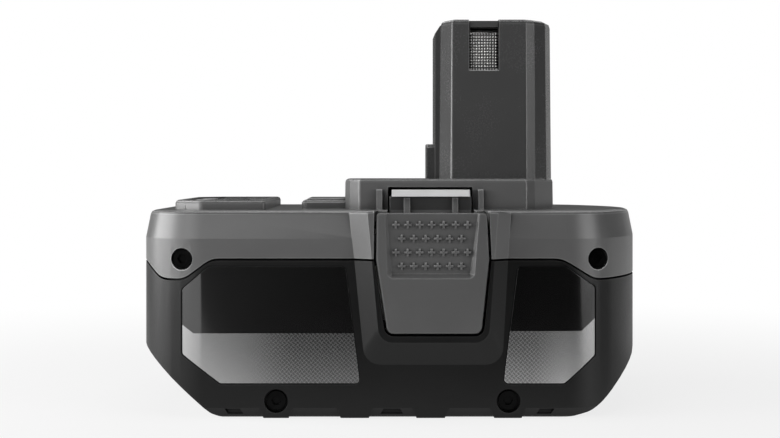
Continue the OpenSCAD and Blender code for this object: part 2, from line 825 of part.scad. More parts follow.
module power_contact() {
    w = notch_w - 0.4;
    z1 = bar_z - 1.2;
    y1 = -contact_y + contact_t - 0.02;
    h = z1 - notch_z;
    color("gold") {
        difference() {
            union() {
                box([stem_x - w / 2, -contact_y, block_z + 1],
                    [stem_x + w / 2, y1, z1]);
                box([stem_x - 2, -contact_y, board_top + seat_gap],
                    [stem_x + 2, -contact_y + 0.5, block_z + 2]);
            }
            for (i = [1:knurl_cols])
                translate([stem_x - w / 2 + w * i / (knurl_cols + 1), -contact_y, z1 - h / 2])
                    rotate([0, 0, 45])
                        cube([0.34, 0.34, h + 2], center = true);
            for (i = [1:knurl_rows])
                translate([stem_x, -contact_y, notch_z + h * i / (knurl_rows + 1)])
                    rotate([45, 0, 0])
                        cube([w + 2, 0.34, 0.34], center = true);
        }
        // Top edge, bent back
        x_prism([[-contact_y, z1 - 0.1], [y1, z1 - 0.1], [y1, bar_z - 0.2], [-contact_y, z1]],
            stem_x - w / 2, stem_x + w / 2);
    }
}

module sense_contacts() {
    color("gold")
        both_sides()
            box([stem_front + stem_wall + 0.05, -5, board_top + seat_gap],
                [stem_front + stem_wall + 0.55, -3.2, stem_top - 3.7]);
}

// Cells, holders and strips

function cell_x(i) = row_x + ((i - 1) % 5 - 2) * pitch;
function cell_z(i) = i <= 5 ? row_z : row_z + pitch;

module cell(i) {
    s = i % 2 == 1 ? -1 : 1;
    color([0.2, 0.42, 0.3])
        union() {
            y_rod(cell_x(i), cell_z(i), cell_r, -cell_y, cell_y);
            y_rod(cell_x(i), cell_z(i), 3.4,
                s < 0 ? -cell_y - 1.4 : cell_y - 1, s < 0 ? -cell_y + 1 : cell_y + 1.4);
        }
}

module cell_holder() {
    x0 = cell_x(1) - cell_r - 0.2;
    x1 = cell_x(5) + cell_r - 0.1;
    z0 = floor_t + 0.6;
    z1 = row_z + pitch + cell_r + 0.2;
    color([0.24, 0.24, 0.24])
        difference() {
            union() {
                intersection() {
                    y_prism(rounded([[x0, z0], [x1, z0], [x1, z1], [x0, z1]], [5, 5, 5, 5]),
                        -holder_y1, -holder_y0);
                    y_prism(rounded(case_line, case_round, incline_wall + 0.35, 5), -big, big);
                    linear_extrude(height = cover_top)
                        polygon(plan(cover_wall + 1.5));
                }
                // Pegs in the gaps between four cells
                for (i = [1:4])
                    y_rod((cell_x(i) + cell_x(i + 1)) / 2, row_z + pitch / 2,
                        pitch / sqrt(2) - cell_r - 0.3, -holder_y1, -holder_y0 + 9);
                // Bosses for the case screws
                for (x = base_screw_x)
                    y_rod(x, base_screw_z, boss_r, -holder_y1, -holder_y0 + 11);
                // Seat of the latch spring
                box([lx - 3, -holder_y1, z1 - 4], [lx + 3.2, -holder_y0, spring_z + 2.5]);
            }
            box([x0, -yw, -1], [x1, 0, floor_t + seat_gap]);
            for (i = [1:10])
                y_rod(cell_x(i), cell_z(i), 5.6, -holder_y1 - 1, -holder_y0 + 0.05);
            for (x = base_screw_x)
                y_rod(x, base_screw_z, shank_hole_r, -yw, -holder_y0 + 12);
            for (x = lug_screw_x)
                y_rod(x, part_z, cup_r + 0.3, -yw, -yw + 20);
        }
}

// Weld strip over the columns of cells a to b
module strip(a, b) {
    x0 = cell_x(a) - 4.5;
    x1 = cell_x(b) + 4.5;
    color("lightgray")
        difference() {
            intersection() {
                y_prism(rounded([[x0, row_z - 5], [x1, row_z - 5], [x1, row_z + pitch + 5],
                                 [x0, row_z + pitch + 5]], [2, 2, 2, 2]),
                    -holder_y1 - strip_t, -holder_y1);
                linear_extrude(height = cover_top)
                    polygon(plan(cover_wall + 1.15 + seat_gap));
            }
            for (i = [a:b])
                for (z = [row_z, row_z + pitch])
                    box([cell_x(i) - 0.5, -yw, z - 3.5], [cell_x(i) + 0.5, -holder_y0, z + 3.5]);
        }
}

// Circuit board and gauge

module circuit_board() {
    h = board_top;
    color([0.1, 0.35, 0.2])
        union() {
            translate([0, 0, board_z])
                linear_extrude(height = board_t)
                    polygon([[xl + 9, -18], [xl + 13.5, -18], [xl + 13.5, -24], [arm_l - 6.8, -24],
                             [arm_l - 6.8, -16.5], [lx + 25, -16.5], [lx + 25, 16.5],
                             [arm_l - 6.8, 16.5], [arm_l - 6.8, 24], [xl + 13.5, 24],
                             [xl + 13.5, 18], [xl + 9, 18]]);
            // Power transistors, controller chip and capacitors
            for (y = [-18, -7, 4, 15])
                box([arm_l - 24, y, h - 0.2], [arm_l - 15, y + 6, h + 2]);
            box([lx - 5, -4, h - 0.2], [lx + 2, 4, h + 1.2]);
            for (y = [-10, 10])
                translate([lx - 1.5, y, h - 0.2])
                    cylinder(r = 2.5, h = 3.2, $fn = 32);
        }
}

module gauge_leds() {
    color("white")
        for (i = [0:gauge_lights - 1])
            translate([gauge_light_x, gauge_light_y(i), board_top + 0.6])
                cube([1.6, 1.6, 1.2], center = true);
}

module gauge_switch() {
    color("black")
        union() {
            translate([gauge_key_x, 0, board_top + 1.5])
                cube([6, 6, 3], center = true);
            translate([gauge_key_x, 0, board_top + 2.9])
                cylinder(r = 1.7, h = 0.7, $fn = 32);
        }
}

module gauge_window() {
    w = gauge_light_pitch * gauge_lights / 2 + 0.2;
    color([0.75, 0.75, 0.75])
        union() {
            translate([0, 0, pad_top - 0.6])
                linear_extrude(height = 0.45)
                    polygon(rounded([[gauge_light_x - 1.6, -w], [gauge_light_x + 1.6, -w],
                                     [gauge_light_x + 1.6, w], [gauge_light_x - 1.6, w]],
                        [0.6, 0.6, 0.6, 0.6]));
            for (i = [0:gauge_lights - 1])
                translate([gauge_light_x, gauge_light_y(i), board_top + 1.5])
                    cylinder(r = 1.3, h = pad_top - board_top - 2, $fn = 32);
        }
}

module gauge_button() {
    z_flange = pad_top - pad_skin - 0.2;
    color([0.3, 0.3, 0.3])
        union() {
            translate([0, 0, z_flange - 0.8])
                linear_extrude(height = 0.8)
                    polygon(rounded([[gauge_key_x - 4, -6], [gauge_key_x + 4, -6],
                                     [gauge_key_x + 4, 6], [gauge_key_x - 4, 6]],
                        [1, 1, 1, 1]));
            translate([0, 0, z_flange - 0.1])
                linear_extrude(height = pad_skin + 0.2)
                    polygon(rounded([[gauge_key_x - 3, -5], [gauge_key_x + 3, -5],
                                     [gauge_key_x + 3, 5], [gauge_key_x - 3, 5]],
                        [0.8, 0.8, 0.8, 0.8]));
            translate([gauge_key_x, 0, board_top + 3.7 + gauge_travel])
                cylinder(r = 1.5, h = z_flange - board_top - 3.7 - gauge_travel, $fn = 32);
        }
}

module far_side() {
    mirror([0, 1, 0])
        children();
}

top_cover();
bottom_case();
terminal_block();
power_contact();  // contact_positive
far_side() power_contact();  // contact_negative
sense_contacts();
latch_button();  // latch_button_near
far_side() latch_button();  // latch_button_far
latch_hook();  // latch_hook_near
far_side() latch_hook();  // latch_hook_far
latch_pin();  // latch_pin_near
far_side() latch_pin();  // latch_pin_far
latch_spring();  // latch_spring_near
far_side() latch_spring();  // latch_spring_far
cell_holder();  // cell_holder_near
far_side() cell_holder();  // cell_holder_far
circuit_board();
gauge_leds();
gauge_switch();
gauge_window();
gauge_button();
cover_screws();
case_screws();
label(front_label);  // label_front_near
label(rear_label);  // label_rear_near
far_side() label(front_label);  // label_front_far
far_side() label(rear_label);  // label_rear_far
for (i = [1:10])
    cell(i);
strip(1, 2);  // strip_near_1
strip(3, 4);  // strip_near_2
strip(5, 5);  // strip_near_3
far_side() strip(1, 1);  // strip_far_1
far_side() strip(2, 3);  // strip_far_2
far_side() strip(4, 5);  // strip_far_3
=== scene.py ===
# %% [markdown]
# # Dressing a slide-in battery pack
# The solids of the pack come from the packed frame, in metres, with the pack
# standing on Z = 0 and its front end towards -X. This lesson keeps those
# solids, softens their edges the way a mould does, and gives each of them the
# finish it has on the real object. Nothing is moved: every piece stays on the
# body that the frame gives it.

import math

import bpy
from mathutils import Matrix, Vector


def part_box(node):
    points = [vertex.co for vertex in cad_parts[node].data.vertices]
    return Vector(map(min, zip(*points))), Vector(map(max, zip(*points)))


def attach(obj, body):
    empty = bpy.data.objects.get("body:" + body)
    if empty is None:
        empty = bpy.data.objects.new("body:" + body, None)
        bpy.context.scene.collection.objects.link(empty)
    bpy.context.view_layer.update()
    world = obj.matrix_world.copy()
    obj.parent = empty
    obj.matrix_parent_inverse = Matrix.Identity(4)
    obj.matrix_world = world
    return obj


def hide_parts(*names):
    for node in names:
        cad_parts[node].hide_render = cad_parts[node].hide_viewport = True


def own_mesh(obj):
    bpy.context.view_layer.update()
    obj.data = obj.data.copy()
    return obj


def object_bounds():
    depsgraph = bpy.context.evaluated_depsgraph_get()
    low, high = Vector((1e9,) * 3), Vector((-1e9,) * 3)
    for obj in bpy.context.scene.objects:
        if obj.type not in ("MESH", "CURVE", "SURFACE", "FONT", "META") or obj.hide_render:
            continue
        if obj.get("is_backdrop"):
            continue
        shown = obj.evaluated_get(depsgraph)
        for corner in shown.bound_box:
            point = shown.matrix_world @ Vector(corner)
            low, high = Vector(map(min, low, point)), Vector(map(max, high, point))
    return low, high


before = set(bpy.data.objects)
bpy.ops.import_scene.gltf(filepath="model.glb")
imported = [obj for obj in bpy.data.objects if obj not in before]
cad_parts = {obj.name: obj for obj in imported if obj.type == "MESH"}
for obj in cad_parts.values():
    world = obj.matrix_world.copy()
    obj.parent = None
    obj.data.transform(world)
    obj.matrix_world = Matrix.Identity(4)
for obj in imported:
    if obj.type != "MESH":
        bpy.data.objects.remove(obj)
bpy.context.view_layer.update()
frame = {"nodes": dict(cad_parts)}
nodes = frame["nodes"]
scene = bpy.context.scene
MM = 0.001
print("pieces in the frame:", len(nodes))

# %% [markdown]
# ## Camera
# The photograph looks straight at the near side with a long lens: both ends
# of the case are seen edge on, and the tops of the cover and the collar show
# as thin slivers. The height of the lens follows from where those slivers
# close up. The picture is not centred on that point, so the lens is shifted
# instead of tilted, which keeps the upright edges upright.

# %% Camera
PICTURE = (780, 438)
LENS_POINT = (378, 172.5)
SENSOR = 36.0
FOCAL_PIXELS = 1483.5

eye = bpy.data.cameras.new("eye")
eye.sensor_width = SENSOR
eye.lens = FOCAL_PIXELS / PICTURE[0] * SENSOR
eye.shift_x = (PICTURE[0] / 2 - LENS_POINT[0]) / PICTURE[0]
eye.shift_y = (LENS_POINT[1] - PICTURE[1] / 2) / PICTURE[0]
eye.clip_start = 0.01
camera = bpy.data.objects.new("eye", eye)
camera.location = (-4.4 * MM, -380 * MM, 56.6 * MM)
camera.rotation_euler = (math.pi / 2, 0, 0)
scene.collection.objects.link(camera)
scene.camera = camera
print("lens in mm:", round(eye.lens, 2))

# %% [markdown]
# ## Sums with sockets
# A finish is a sum of small patterns: grain, blotches, worn edges. Wiring
# each Math node by hand hides that sum, so one small class wraps an output
# socket and lets Python's own operators add the Math nodes. Its method node
# adds any other node: first the settings, because some of them change which
# sockets the node has, then the values and links.


# %% A socket that can be used in sums
class Wire:
    """An output socket in a node tree. Sums of wires add Math nodes."""

    def __init__(self, tree, socket=None):
        self.tree = tree
        self.socket = socket

    def node(self, kind, settings=None, links=None, out=0):
        made = self.tree.nodes.new(kind)
        for key, value in (settings or {}).items():
            setattr(made, key, value)
        for key, value in (links or {}).items():
            if isinstance(value, Wire):
                self.tree.links.new(value.socket, made.inputs[key])
            else:
                made.inputs[key].default_value = value
        return Wire(self.tree, made.outputs[out]) if made.outputs else None

    def math(self, operation, a, b):
        return self.node("ShaderNodeMath", {"operation": operation}, {0: a, 1: b})

    def __add__(self, other):
        return self.math("ADD", self, other)

    def __radd__(self, other):
        return self.math("ADD", other, self)

    def __sub__(self, other):
        return self.math("SUBTRACT", self, other)

    def __rsub__(self, other):
        return self.math("SUBTRACT", other, self)

    def __mul__(self, other):
        return self.math("MULTIPLY", self, other)

    def __rmul__(self, other):
        return self.math("MULTIPLY", other, self)

    def __truediv__(self, other):
        return self.math("DIVIDE", self, other)

    def __gt__(self, other):
        return self.math("GREATER_THAN", self, other)

    def high(self, other):
        return self.math("MAXIMUM", self, other)

    def low(self, other):
        return self.math("MINIMUM", self, other)

    def ramp(self, start, end):
        """0 below start, 1 above end, a soft step between."""
        return self.node(
            "ShaderNodeMapRange",
            {"interpolation_type": "SMOOTHSTEP"},
            {0: self, 1: start, 2: end, 3: 0.0, 4: 1.0},
        )

    def tint(self, colour_a, colour_b):
        """Colour a where this wire is 0, colour b where it is 1."""
        return self.node(
            "ShaderNodeMix", {"data_type": "RGBA"}, {0: self, 6: colour_a, 7: colour_b}, out=2
        )

    def only(self, operation):
        """A Math node that takes this wire alone."""
        return self.math(operation, self, 0)

    def at(self, level, reach):
        """1 where this wire lies within this reach of the level, 0 elsewhere."""
        return self.node(
            "ShaderNodeMath", {"operation": "COMPARE"}, {0: self, 1: level, 2: reach}
        )

    def split(self, names="XYZ"):
        """The parts of a vector along these axes."""
        return [
            self.node("ShaderNodeSeparateXYZ", None, {0: self}, out=axis) for axis in names
        ]


print("reflected operators:", [n for n in vars(Wire) if n.startswith("__r")])

# %% [markdown]
# ## The studio
# The pack was photographed against white, and its glossy parts show what
# stands around it. The room is dark, because a sky of one white would light
# the black case from the front and wash it out. Behind the pack stands a wall
# that only glossy rays meet, brighter at the sides than in the middle, which
# draws the pale lines along both ends. Camera rays see plain white
# everywhere, and so do rays through clear plastic.

# %% Room
ROOM_DIM = 0.01
ROOM_BRIGHT = 0.03
WALL_MIDDLE, WALL_LEFT, WALL_RIGHT = 0.05, 0.2, 0.5
SIDE_START, SIDE_END = 0.16, 0.32
scene.view_settings.view_transform = "Standard"

room = bpy.data.worlds.new("room")
scene.world = room
room.use_nodes = True
room.node_tree.nodes.clear()
air = Wire(room.node_tree)


def ray(start, kind):
    return start.node("ShaderNodeLightPath", out=kind)


def grey(level):
    return (level, level, level, 1)


looks_at = air.node("ShaderNodeTexCoord", out="Generated")
aside, behind = looks_at.split("XY")
indirect = ROOM_DIM + behind.ramp(-0.15, 0.6) * (ROOM_BRIGHT - ROOM_DIM)
wall = WALL_MIDDLE + aside.ramp(-SIDE_START, -SIDE_END) * WALL_LEFT
wall = wall + aside.ramp(SIDE_START, SIDE_END) * WALL_RIGHT
mirrored = ray(air, "Is Glossy Ray") * behind.ramp(0.72, 0.9) * wall
seen = ray(air, "Is Camera Ray").high(ray(air, "Is Transmission Ray"))
glow = air.node(
    "ShaderNodeBackground",
    None,
    {"Color": grey(1), "Strength": seen.high(indirect).high(mirrored)},
)
air.node("ShaderNodeOutputWorld", None, {"Surface": glow})
print("room light from", ROOM_DIM, "to", ROOM_BRIGHT)

# %% [markdown]
# The floor is white paper to the lens, with the soft shadow of the pack on
# it. Its front part is dark to all other rays, so that faces that look at the
# lens stay deep. Glossy rays find it bright close to the pack and in a wing
# on each side, which the curved ends of the labels and the case mirror. A gap
# in the right wing keeps the rear label black.

# %% Floor
FLOOR_SIZE = 3.0
FLOOR_DROP = 0.05
FLOOR_GLOW = 0.8
WING_RIGHT = 0.4
GAP_DEPTH = 0.85
PAPER = 0.8

corners = [(x * FLOOR_SIZE, y * FLOOR_SIZE, -FLOOR_DROP * MM)
           for x, y in ((-1, -1), (1, -1), (1, 1), (-1, 1))]
floor_mesh = bpy.data.meshes.new("floor")
floor_mesh.from_pydata(corners, [], [(0, 1, 2, 3)])
floor = bpy.data.objects.new("floor", floor_mesh)
scene.collection.objects.link(floor)
floor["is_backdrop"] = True

paper = bpy.data.materials.new("floor_paper")
paper.use_nodes = True
paper.node_tree.nodes.clear()
sheet = Wire(paper.node_tree)
spot = sheet.node("ShaderNodeTexCoord", out="Object")
across, along = spot.split("XY")
away = sheet.node(
    "ShaderNodeVectorMath", {"operation": "LENGTH"}, {0: spot}, out="Value"
)
lit = along.ramp(-0.20, -0.06)
near = along.ramp(-0.085, -0.05)
left_wing = (along * 0.176 - across).ramp(0.022, 0.04)
right_wing = (along * 0.75 + across).ramp(0.03, 0.06) * WING_RIGHT
right_gap = across.ramp(0.055, 0.08) * (along + across * 0.3).ramp(-0.04, 0.02)
right_gap = right_gap * (1 - along.ramp(0.05, 0.12))
back = 1 - along.ramp(0.0, 0.12) * 0.6
mirrored = left_wing.high(right_wing).high(near) * back * (1 - right_gap * GAP_DEPTH)
mirrored = ray(sheet, "Is Glossy Ray") * mirrored
seen = ray(sheet, "Is Camera Ray").high(ray(sheet, "Is Transmission Ray"))
cover_up = FLOOR_GLOW + away.ramp(0.06, 0.3) * (1 - FLOOR_GLOW)
cover_up = seen.high(mirrored) * cover_up
front = across.ramp(-0.08, 0.02).tint(grey(0.06), grey(0.01))
matt = sheet.node("ShaderNodeBsdfDiffuse", None, {"Color": lit.tint(front, grey(PAPER))})
white = sheet.node("ShaderNodeEmission", None, {"Color": grey(1), "Strength": 1.0})
mixed = sheet.node("ShaderNodeMixShader", None, {0: cover_up, 1: matt, 2: white})
sheet.node("ShaderNodeOutputMaterial", None, {"Surface": mixed})
floor_mesh.materials.append(paper)
print("floor spans", 2 * FLOOR_SIZE, "m")

# %% [markdown]
# Soft boxes are lit rectangles turned towards the pack. A low wall and a
# large box on the left light the front corner, which is the brightest part of
# the picture, and a smaller box on the right lights the rear corner. A slim
# box above the lens gives the near faces their level. Weak boxes above and
# behind draw the hook and the upper edges.

# %% Soft boxes
AIM = Vector((0, 0, 45 * MM))


def soft_box(name, place, size, watts):
    lamp = bpy.data.lights.new(name, "AREA")
    lamp.shape = "RECTANGLE"
    lamp.size, lamp.size_y = size
    lamp.energy = watts
    box = bpy.data.objects.new(name, lamp)
    box.location = place
    box.rotation_mode = "QUATERNION"
    box.rotation_quaternion = (AIM - Vector(place)).to_track_quat("-Z", "Y")
    scene.collection.objects.link(box)
    return box


lamps = [
    soft_box("left_wall", (-0.40, -0.16, 0.14), (0.75, 0.26), 1.3),
    soft_box("left_box", (-0.74, -0.05, 0.19), (0.6, 0.36), 4.6),
    soft_box("right_box", (0.60, -0.37, 0.19), (0.40, 0.36), 1.9),
    soft_box("high_front_box", (-0.29, -0.80, 0.36), (0.60, 0.14), 1.2),
    soft_box("top_box", (0.0, 0.02, 0.95), (0.6, 0.3), 1.2),
    soft_box("back_box", (0.15, 0.80, 0.55), (0.8, 0.4), 0.7),
]
print("soft boxes:", [lamp.name for lamp in lamps])

# %% [markdown]
# ## Soft edges
# A mould leaves every outside edge with a small radius, and that radius is
# what catches the light as a thin bright line. The solids of the frame have
# sharp edges. Rounding them in the source would make it slow, and a new mesh
# could drift away from the solid, so a stack of modifiers does it: weld the
# vertices, join flat triangles to whole faces, turn each sharp edge into a
# narrow rounded strip, and let the large faces lead the shading. The strip
# only takes material away, so the pack keeps its size.


# %% Rounding stack
def smooth_faces(name, crease=None):
    """Node group that smooths all but the edges at the crease height in mm."""
    group = bpy.data.node_groups.new(name, "GeometryNodeTree")
    for way in ("INPUT", "OUTPUT"):
        group.interface.new_socket("Geometry", in_out=way, socket_type="NodeSocketGeometry")
    mesh = Wire(group).node("NodeGroupInput")
    for domain in ("FACE", "EDGE"):
        mesh = mesh.node("GeometryNodeSetShadeSmooth", {"domain": domain}, {0: mesh})
    if crease:
        level = 1.0
        for end in ("Position 1", "Position 2"):
            spot = mesh.node("GeometryNodeInputMeshEdgeVertices", out=end)
            level = level * spot.split("Z")[0].at(crease * MM, 0.02 * MM)
        mesh = mesh.node(
            "GeometryNodeSetShadeSmooth",
            {"domain": "EDGE"},
            {0: mesh, "Selection": level, "Shade Smooth": False},
        )
    mesh.node("NodeGroupOutput", None, {0: mesh})
    return group


SMOOTH = smooth_faces("smooth_faces")
CREASE_Z = 41.3
WELD_REACH = 0.002 * MM
CREASED = smooth_faces("smooth_faces_with_crease", CREASE_Z)


def soften(piece, radius, angle=24, strips=2):
    weld = piece.modifiers.new("weld", "WELD")
    weld.merge_threshold = WELD_REACH
    flat = piece.modifiers.new("flat_faces", "DECIMATE")
    flat.decimate_type = "DISSOLVE"
    flat.angle_limit = math.radians(0.6)
    group = CREASED if piece is nodes["top_cover"] else SMOOTH
    piece.modifiers.new("smooth", "NODES").node_group = group
    if radius:
        edge = piece.modifiers.new("edge_radius", "BEVEL")
        edge.width = radius * MM
        edge.segments = strips
        edge.limit_method = "ANGLE"
        edge.angle_limit = math.radians(angle)
        edge.miter_outer = "MITER_ARC"
    even = piece.modifiers.new("even_shading", "WEIGHTED_NORMAL")
    even.weight = 60
    even.keep_sharp = True
    return piece


EDGE_RADIUS = {
    "top_cover": 0.35, "bottom_case": 0.35, "terminal_block": 0.2,
    "latch_button": 0.14, "latch_hook": 0.12, "latch_pin": 0.15,
    "contact": 0.0, "sense_contacts": 0.1, "cell_holder": 0.2,
    "circuit_board": 0.1, "gauge_leds": 0.15, "gauge_switch": 0.15,
    "gauge_window": 0.15, "gauge_button": 0.25, "cover_screws": 0.12,
    "case_screws": 0.12, "label": 0.04, "cell_": 0.5, "strip": 0.04,
}
for name, piece in nodes.items():
    if name.startswith("latch_spring"):
        continue
    kind = max((k for k in EDGE_RADIUS if name.startswith(k)), key=len)
    soften(piece, EDGE_RADIUS[kind])
print("edges softened on", sum(len(p.modifiers) > 0 for p in nodes.values()), "pieces")

# %% [markdown]
# The latch springs are wound from round wire, but in the solid the wire has
# six flat sides. A bevel would only nick those; subdivision turns the six
# sides into a round wire, and the coil keeps its place. A spring also gets
# shorter when its button is pressed, which a rigid solid can't do; here a copy
# of each solid stands in for it, held on the pack.

# %% Round spring wire
springs = {}
for side in ("near", "far"):
    solid = nodes["latch_spring_" + side]
    spring = bpy.data.objects.new("wound_spring_" + side, solid.data.copy())
    spring.matrix_world = solid.matrix_world
    scene.collection.objects.link(spring)
    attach(spring, "pack")
    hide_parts("latch_spring_" + side)
    low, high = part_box("latch_spring_" + side)
    seat = (low + high) / 2
    seat.y = high.y if side == "near" else low.y
    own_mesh(spring)
    spring.modifiers.new("weld", "WELD").merge_threshold = WELD_REACH
    spring.modifiers.new("smooth", "NODES").node_group = SMOOTH
    wire = spring.modifiers.new("round_wire", "SUBSURF")
    wire.levels = wire.render_levels = 2
    springs[spring.name] = spring

# %% [markdown]
# ## Helpers for finishes
# Every finish starts from the place of a point on the pack, in metres, so a
# pattern keeps its real size and runs on from one face to the next without
# any unwrapping. Noise gives the uneven parts, and a bump of a few hundredths
# of a millimetre gives the relief.

# %% Finish helpers
finishes = {}


def begin(name):
    material = bpy.data.materials.new(name)
    material.use_nodes = True
    material.node_tree.nodes.clear()
    finishes[name] = material
    start = Wire(material.node_tree)
    return start, start.node("ShaderNodeTexCoord", out="Object")


def close(start, sockets):
    shader = start.node("ShaderNodeBsdfPrincipled", None, sockets)
    start.node("ShaderNodeOutputMaterial", None, {"Surface": shader})
    print("finish with", len(start.tree.nodes), "nodes")


def noise(place, size, detail=2.0, stretch=(1, 1, 1)):
    """Soft random pattern with features of about this size in mm."""
    scaled = place.node(
        "ShaderNodeVectorMath", {"operation": "MULTIPLY"}, {0: place, 1: stretch}
    )
    links = {"Vector": scaled, "Scale": 1 / (size * MM), "Detail": detail}
    return place.node("ShaderNodeTexNoise", None, links)


def axes(place):
    """X, Y and Z of the point in mm."""
    return [part * (1 / MM) for part in place.split()]


def relief(height, depth, normal=None):
    """Normal of a surface with this height pattern, depth in mm."""
    links = {"Height": height, "Distance": depth * MM}
    if normal:
        links["Normal"] = normal
    return height.node("ShaderNodeBump", None, links)


print("helpers ready")

# %% [markdown]
# ## Moulded plastics
# The cover, the case, the buttons and the inner carriers are glass-filled
# nylon. Its skin copies the spark-eroded mould: a fine even grain, a little
# glossier where hands and the tool rub it. The same sum serves all of them
# with other numbers: grain for the relief, slow blotches for colour and
# gloss, a mask for the outside edges, which get a painted highlight in a
# pale grey and a little more gloss, and one for the corners and gaps, which
# get painted shade. The edge mask compares a face with the average direction
# of the faces around it, and edges that look up count most, as the painted
# highlight stands for light from above. The shade mask asks how much open air
# there is within a few millimetres, and where there is little the edge mask
# is left out too.


# %% Moulded skin
def open_air(start, reach):
    """1 on open faces, lower in corners and gaps up to this reach in mm."""
    return start.node(
        "ShaderNodeAmbientOcclusion", {"samples": 6}, {"Distance": reach * MM}, out="AO"
    )


def outside_edges(start, reach):
    """1 on outside edges that look up, less on upright ones, reach in mm."""
    around = start.node("ShaderNodeBevel", {"samples": 6}, {"Radius": reach * MM})
    face = start.node("ShaderNodeNewGeometry", out="True Normal")
    same = start.node(
        "ShaderNodeVectorMath", {"operation": "DOT_PRODUCT"}, {0: around, 1: face}, out="Value"
    )
    # Edges that look up count most: the painted highlight stands for light from above.
    upward = around.split("Z")[0].ramp(0.15, 0.6)
    turned = (1 - same).ramp(0.008, 0.05)
    return turned * open_air(start, 2.0).ramp(0.55, 0.9) * (0.15 + upward * 0.85)


def moulded(name, level, rough, grain=0.32, depth=0.012, edge_highlight=0.0, highlight_grey=0.0,
            corner_shade=0.0, shade_reach=2.5, sheen_level=0.4, extra=None):
    """Nylon of this grey level, with a painted highlight of the given grey on its outside
    edges and painted shade in its corners.
    """
    start, place = begin(name)
    skin = noise(place, grain, 3.0)
    blotch = noise(place, 11.0, 3.0).ramp(0.3, 0.7)
    streak = noise(place, 2.6, 2.0, (0.25, 1, 1))
    tone = blotch * 0.6 + streak * 0.4
    colour = tone.tint(grey(level * 0.95), grey(level * 1.05))
    gloss = rough + (skin - 0.5) * 0.14 + (blotch - 0.5) * 0.04
    # Painted shade: corners and gaps, with little open air near them, are tinted darker and
    # made rougher.
    if corner_shade:
        closed = 1 - open_air(start, shade_reach).ramp(0.3, 0.95)
        colour = (closed * corner_shade).tint(colour, grey(level * 0.2))
        gloss = gloss + closed * 0.1
    if extra:
        colour, gloss = extra(place, colour, gloss)
    # Painted highlight: outside edges are tinted towards a pale grey, and rubbing makes them a
    # little glossier.
    if edge_highlight:
        highlit_and_worn = outside_edges(start, 0.5) * (0.6 + noise(place, 1.4) * 0.7)
        colour = (highlit_and_worn * edge_highlight).tint(colour, grey(highlight_grey))
        gloss = gloss - highlit_and_worn * 0.1
    close(start, {
        "Base Color": colour,
        "Roughness": gloss.high(0.08).low(0.95),
        "Specular IOR Level": sheen_level,
        "Normal": relief(skin, depth),
    })


# %% [markdown]
# The grey cover: its stem slides in the tool, so above the collar the mould
# is polished and the plastic is glossier than the walls; the colour there is
# also made darker. The floor of the shallow well in the front pad carries a
# pale gloss film. Only that floor looks up at its height, so height and
# direction pick it out.

# %% Grey cover
STEM_FOOT = 54.6
PAD_FLOOR = 49.5


def polished_and_filmed(place, colour, gloss):
    z = axes(place)[2]
    stem = z.ramp(STEM_FOOT, STEM_FOOT + 0.6)
    colour, gloss = (stem * 0.75).tint(colour, grey(0.05)), gloss - stem * 0.08
    upward = place.node("ShaderNodeNewGeometry", out="True Normal").split("Z")[0]
    film = z.at(PAD_FLOOR, 0.08) * (upward > 0.9)
    return film.tint(colour, grey(0.42)), gloss * (1 - film * 0.55)


moulded("cover_nylon", 0.125, 0.33, edge_highlight=0.95, highlight_grey=0.65, corner_shade=0.8, sheen_level=0.5,
        extra=polished_and_filmed)

# %% [markdown]
# The case is black nylon with a coarser grain and less sheen. The buttons are
# grey like the cover with a finer grain, and their arms, which run behind the
# collar, get painted shade: they are tinted nearly black there. The carriers
# inside are plain.

# %% Black case, button, carriers
moulded("case_nylon", 0.006, 0.38, grain=0.36, edge_highlight=0.5, highlight_grey=0.05, corner_shade=0.8,
        sheen_level=0.28)

ARM_FOOT = 47.4
ARM_FACE = (24.2, 25.6)


def arm_painted_shade(place, colour, gloss):
    _, y, z = axes(place)
    inward = 1 - y.only("ABSOLUTE").ramp(*ARM_FACE)
    # Painted shade: the part of the arm behind the collar face, above its foot, is tinted
    # nearly black.
    arm_shade_mask = z.ramp(ARM_FOOT, ARM_FOOT + 0.4) * inward * 0.75
    return arm_shade_mask.tint(colour, grey(0.012)), gloss


moulded("button_nylon", 0.11, 0.4, grain=0.22, depth=0.008, edge_highlight=0.8, highlight_grey=0.42,
        corner_shade=0.9, shade_reach=1.2, extra=arm_painted_shade)
moulded("block_nylon", 0.06, 0.4, grain=0.25)
moulded("holder_nylon", 0.035, 0.5, grain=0.3)
moulded("switch_body", 0.015, 0.35, grain=0.2, depth=0.005)

# %% [markdown]
# ## Labels
# A label is printed film under a clear gloss layer. The upper part is plain
# black. Below a line that turns up at the outer ends the print is grey with a
# weave of short slanted dashes, which fades out towards the ends. The weave
# is drawn as squares that stand on their corners, with a bar in each, turned
# from one square to the next.

# %% Weave of the label print
PRINT_LINE = 19.5
DASH = 0.72
DIAGONAL = DASH * 1.414


def saw(value):
    """0 to 1 over each whole step of the value."""
    return value.only("FRACT")


def ridge(value):
    """0 in the middle of each step, 1 at its ends."""
    return (saw(value) - 0.5).only("ABSOLUTE") * 2


def weave(x, z):
    up, down = (x + z) / DIAGONAL, (z - x) / DIAGONAL
    count = up.only("FLOOR") + down.only("FLOOR")
    turned = saw(count * 0.5) > 0.25
    bars_up = 1 - ridge(down).ramp(0.45, 0.85)
    bars_down = 1 - ridge(up).ramp(0.45, 0.85)
    return bars_up * (1 - turned) + bars_down * turned


# %% Label film
FRONT_TURN, REAR_TURN = -47.0, 42.6

